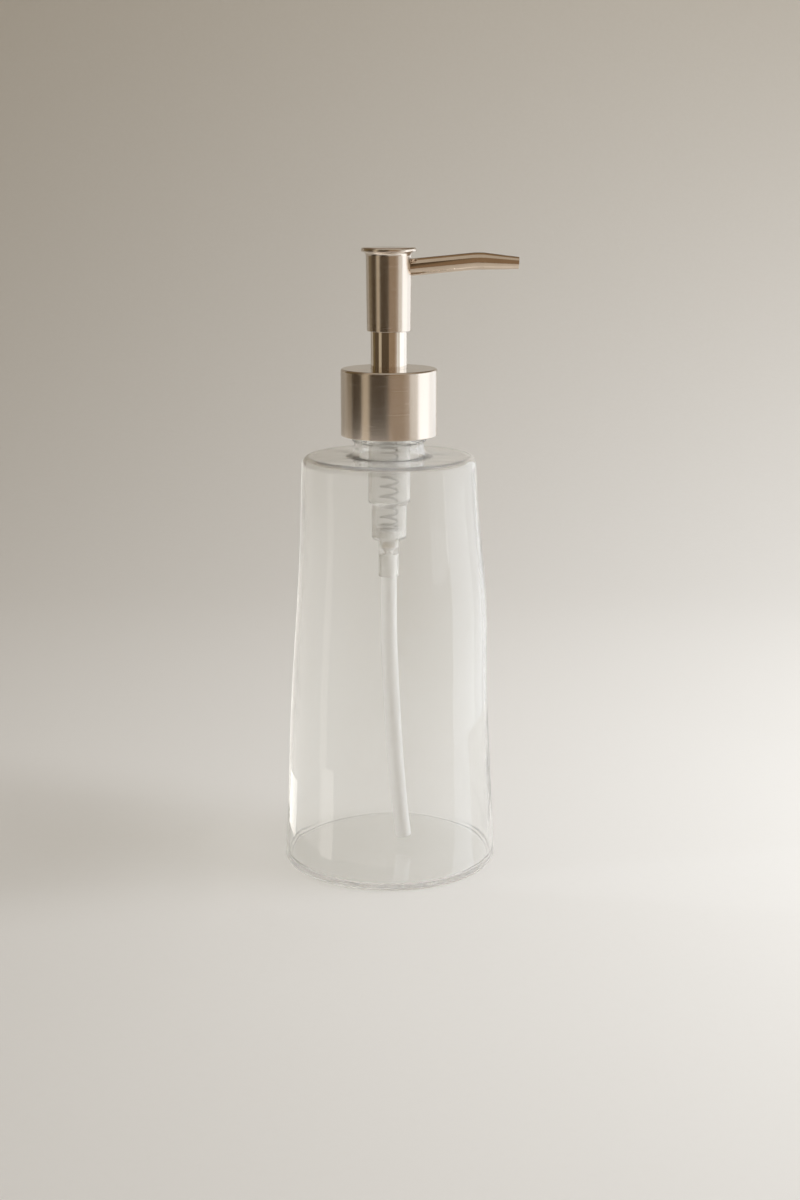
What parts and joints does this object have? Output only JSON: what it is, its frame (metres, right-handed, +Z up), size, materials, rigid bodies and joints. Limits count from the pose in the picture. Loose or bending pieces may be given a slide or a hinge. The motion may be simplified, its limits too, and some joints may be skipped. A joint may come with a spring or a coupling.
{
  "type": "soap pump dispenser",
  "caption": "Tapered clear glass soap bottle with a brushed steel screw collar, a press-down pump head that swivels, a bent spout, a spring-return piston pump and a dip tube.",
  "frame": {"origin": "centre of the bottle's flat underside, on the bottle's axis", "axes": "+Z up along the bottle and pump axis, +X towards the spout tip at rest"},
  "size_m": [0.0813, 0.0752, 0.2152],
  "materials": {
    "clear_glass": "clear, slightly wavy hand-blown glass",
    "brushed_steel": "fine brushed, warm nickel tone",
    "polished_steel": "polished",
    "spring_steel": "drawn wire",
    "milky_plastic": "translucent natural polypropylene",
    "white_plastic": "moulded white polypropylene",
    "tube_plastic": "extruded white polyethylene",
    "soft_seal": "soft sealing ring"
  },
  "bodies": {
    "bottle": {"bottle": "clear_glass"},
    "pump_unit": {"pump_housing": "milky_plastic", "stem_guide": "white_plastic", "stem_wiper": "soft_seal", "neck_sleeve": "polished_steel", "neck_gasket": "soft_seal", "dip_tube": "tube_plastic", "ball_retainer": "milky_plastic", "return_spring": "spring_steel"},
    "closure": {"closure_shell": "brushed_steel", "closure_liner": "white_plastic"},
    "plunger": {"stem_tube": "white_plastic", "piston_rod": "white_plastic"},
    "piston": {"piston": "white_plastic"},
    "head": {"head_shell": "brushed_steel", "head_core": "white_plastic", "head_cap": "brushed_steel", "spout_tube": "polished_steel", "spout_liner": "tube_plastic"},
    "inlet_ball": {"inlet_ball": "polished_steel"}
  },
  "joints": [
    {"name": "pump_lift", "type": "slide", "parent": "bottle", "child": "pump_unit", "axis": [0, 0, 1], "range_m": [0, 0.00846]},
    {"name": "closure_turn", "type": "hinge", "parent": "pump_unit", "child": "closure", "pos_m": [0, 0, 0.16], "axis": [0, 0, 1], "range_deg": [0, 720]},
    {"name": "pump_stroke", "type": "slide", "parent": "pump_unit", "child": "plunger", "axis": [0, 0, -1], "range_m": [0, 0.011], "stiffness_N_per_m": 350, "springref_m": -0.01, "deforming": ["return_spring"]},
    {"name": "head_swivel", "type": "hinge", "parent": "plunger", "child": "head", "pos_m": [0, 0, 0.2], "axis": [0, 0, 1], "continuous": true},
    {"name": "piston_valve", "type": "slide", "parent": "plunger", "child": "piston", "axis": [0, 0, 1], "range_m": [0, 0.001]},
    {"name": "inlet_ball_lift", "type": "slide", "parent": "pump_unit", "child": "inlet_ball", "axis": [0, 0, 1], "range_m": [0, 0.0012]}
  ],
  "couplings": [
    {"joint": "closure_turn", "follows": "pump_lift", "rad_per_m": 1485.4}
  ]
}
